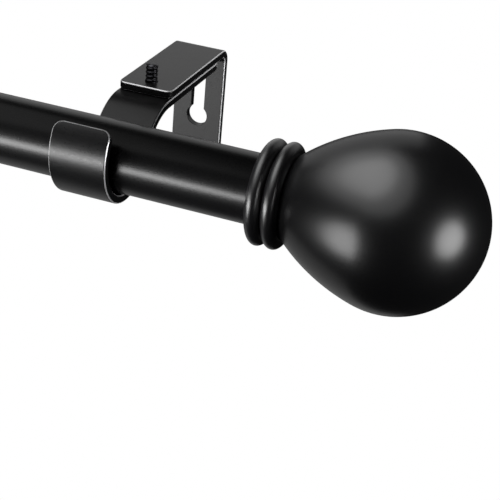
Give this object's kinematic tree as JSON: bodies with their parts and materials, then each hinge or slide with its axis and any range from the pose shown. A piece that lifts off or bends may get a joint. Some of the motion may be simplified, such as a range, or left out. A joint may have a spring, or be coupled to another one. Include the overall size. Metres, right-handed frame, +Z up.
{
  "type": "curtain rod with brackets",
  "caption": "Round black curtain rod in screwed sections with ball finials, held in hooked wall brackets with a sliding projection and keyhole plates.",
  "frame": {"origin": "centre of the round end of the middle bracket's keyhole, on the wall plane", "axes": "+X along the rod towards its right end as seen from the room, +Y into the wall, +Z up"},
  "size_m": [1.3806, 0.1265, 0.0831],
  "materials": {
    "powder_coated_tube": "satin",
    "powder_coated_strip": "satin",
    "painted_casting": "satin",
    "lacquered_resin": "satin",
    "black_screw": "black oxide",
    "zinc_stud": "zinc plated",
    "nylon": "moulded"
  },
  "bodies": {
    "wall": {"wall_plate_left": "powder_coated_strip", "wall_plate_centre": "powder_coated_strip", "wall_plate_right": "powder_coated_strip"},
    "hook_left": {"hook_left": "powder_coated_strip"},
    "hook_centre": {"hook_centre": "powder_coated_strip"},
    "hook_right": {"hook_right": "powder_coated_strip"},
    "clamp_screw_left": {"clamp_screw_left": "black_screw"},
    "clamp_screw_centre": {"clamp_screw_centre": "black_screw"},
    "clamp_screw_right": {"clamp_screw_right": "black_screw"},
    "rod_middle": {"rod_tube_middle": "powder_coated_tube", "connector_left": "nylon", "connector_bush_right": "nylon"},
    "rod_left": {"rod_tube_left": "powder_coated_tube", "connector_bush_left": "nylon", "end_insert_left": "nylon"},
    "rod_right": {"rod_tube_right": "powder_coated_tube", "connector_right": "nylon", "end_insert_right": "nylon"},
    "finial_left": {"finial_collar_left": "painted_casting", "finial_ball_left": "lacquered_resin", "finial_stud_left": "zinc_stud"},
    "finial_right": {"finial_collar_right": "painted_casting", "finial_ball_right": "lacquered_resin", "finial_stud_right": "zinc_stud"}
  },
  "joints": [
    {"name": "centre_projection", "type": "slide", "parent": "wall", "child": "hook_centre", "axis": [0, -1, 0], "range_m": [0, 0.03]},
    {"name": "left_projection", "type": "slide", "parent": "wall", "child": "hook_left", "axis": [0, -1, 0], "range_m": [0, 0.03]},
    {"name": "right_projection", "type": "slide", "parent": "wall", "child": "hook_right", "axis": [0, -1, 0], "range_m": [0, 0.03]},
    {"name": "rod_shift", "type": "slide", "parent": "hook_centre", "child": "rod_middle", "axis": [1, 0, 0], "range_m": [-0.048, 0.048]},
    {"name": "left_tube_unscrew", "type": "hinge", "parent": "rod_middle", "child": "rod_left", "pos_m": [-0.2475, -0.095, 0.0184], "axis": [-1, 0, 0], "range_deg": [0, 360]},
    {"name": "right_tube_unscrew", "type": "hinge", "parent": "rod_middle", "child": "rod_right", "pos_m": [0.2475, -0.095, 0.0184], "axis": [1, 0, 0], "range_deg": [0, 360]},
    {"name": "left_finial_unscrew", "type": "hinge", "parent": "rod_left", "child": "finial_left", "pos_m": [-0.6095, -0.095, 0.0184], "axis": [-1, 0, 0], "range_deg": [0, 360]},
    {"name": "right_finial_unscrew", "type": "hinge", "parent": "rod_right", "child": "finial_right", "pos_m": [0.6095, -0.095, 0.0184], "axis": [1, 0, 0], "range_deg": [0, 360]},
    {"name": "left_clamp_screw_turn", "type": "hinge", "parent": "wall", "child": "clamp_screw_left", "pos_m": [-0.5485, -0.053, 0.0252], "axis": [0, 0, -1], "range_deg": [0, 360]},
    {"name": "centre_clamp_screw_turn", "type": "hinge", "parent": "wall", "child": "clamp_screw_centre", "pos_m": [0, -0.053, 0.0252], "axis": [0, 0, -1], "range_deg": [0, 360]},
    {"name": "right_clamp_screw_turn", "type": "hinge", "parent": "wall", "child": "clamp_screw_right", "pos_m": [0.5485, -0.053, 0.0252], "axis": [0, 0, -1], "range_deg": [0, 360]}
  ],
  "couplings": [
    {"joint": "left_projection", "follows": "centre_projection", "ratio": 1},
    {"joint": "right_projection", "follows": "centre_projection", "ratio": 1}
  ]
}
